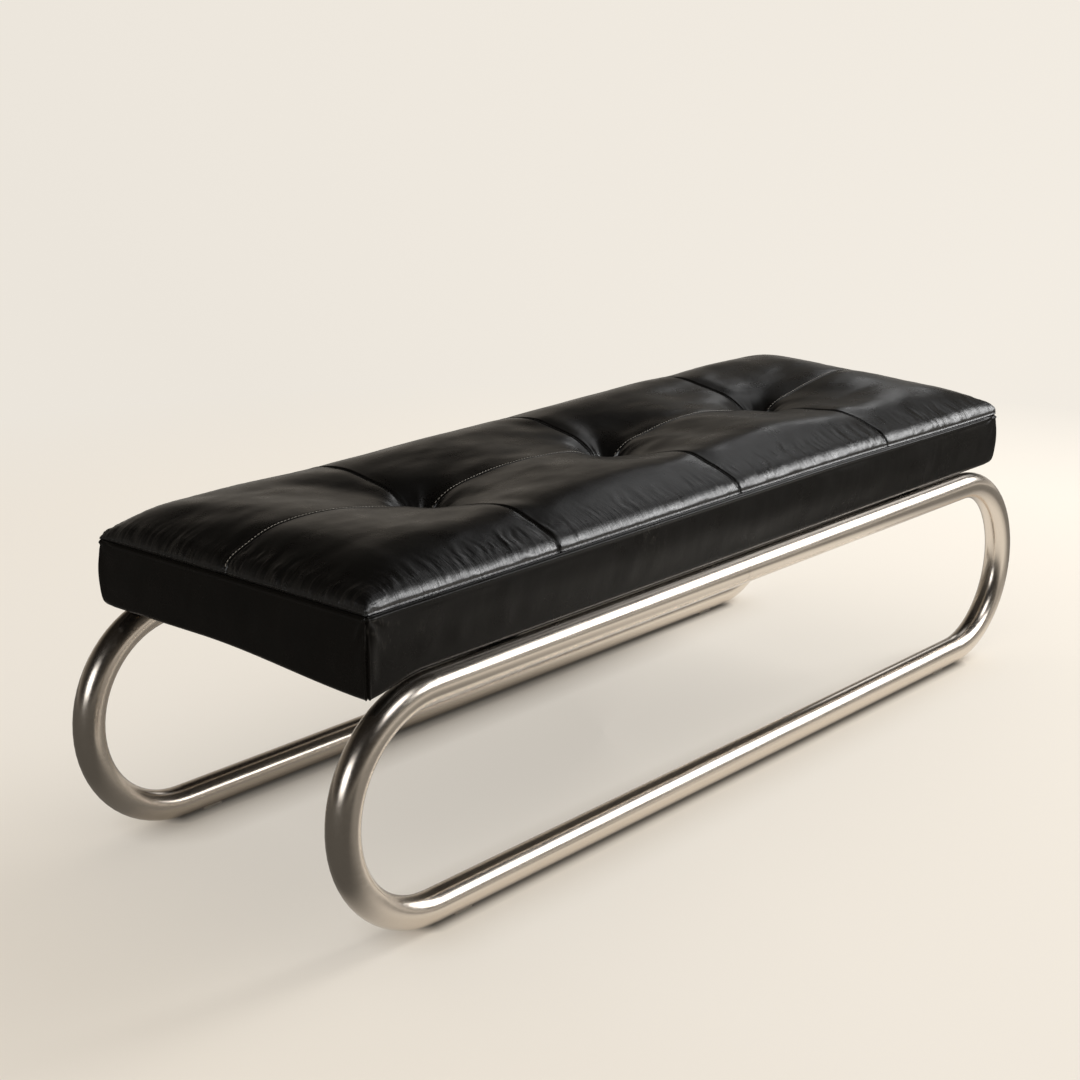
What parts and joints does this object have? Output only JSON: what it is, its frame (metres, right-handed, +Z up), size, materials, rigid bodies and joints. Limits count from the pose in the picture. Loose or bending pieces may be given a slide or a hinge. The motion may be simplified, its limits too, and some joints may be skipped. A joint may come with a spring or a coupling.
{
  "type": "leather bench",
  "caption": "Long backless bench: a tufted, boxed leather seat on two closed loops of polished tube with half-round ends.",
  "frame": {"origin": "on the floor, under the middle of the bench", "axes": "+X along the length, to the right for someone facing the front; +Y from front to rear; +Z up"},
  "size_m": [1.4158, 0.471, 0.4152],
  "materials": {
    "polished_tube": "polished",
    "black_leather": "satin",
    "black_rail": "satin",
    "zinc_steel": "satin",
    "plywood": "matte",
    "seat_foam": "matte",
    "dust_cloth": "matte",
    "tuft_twine": "matte",
    "glide_nylon": "matte"
  },
  "bodies": {
    "root": {"boxing_front": "black_leather", "boxing_left": "black_leather", "boxing_rear": "black_leather", "boxing_right": "black_leather", "cross_rail_left": "black_rail", "cross_rail_right": "black_rail", "dust_cover": "dust_cloth", "floor_glide_front_left": "glide_nylon", "floor_glide_front_right": "glide_nylon", "floor_glide_rear_left": "glide_nylon", "floor_glide_rear_right": "glide_nylon", "foam_core": "seat_foam", "front_joint_sleeve": "zinc_steel", "front_loop_tube": "polished_tube", "rear_joint_sleeve": "zinc_steel", "rear_loop_tube": "polished_tube", "seat_board": "plywood", "seat_screws": "zinc_steel", "seat_washers": "zinc_steel", "tee_nuts": "zinc_steel", "top_panel_front_1": "black_leather", "top_panel_front_2": "black_leather", "top_panel_front_3": "black_leather", "top_panel_front_4": "black_leather", "top_panel_rear_1": "black_leather", "top_panel_rear_2": "black_leather", "top_panel_rear_3": "black_leather", "top_panel_rear_4": "black_leather", "tuft_anchors": "zinc_steel", "tuft_buttons": "black_leather", "tuft_twines": "tuft_twine"}
  },
  "joints": []
}
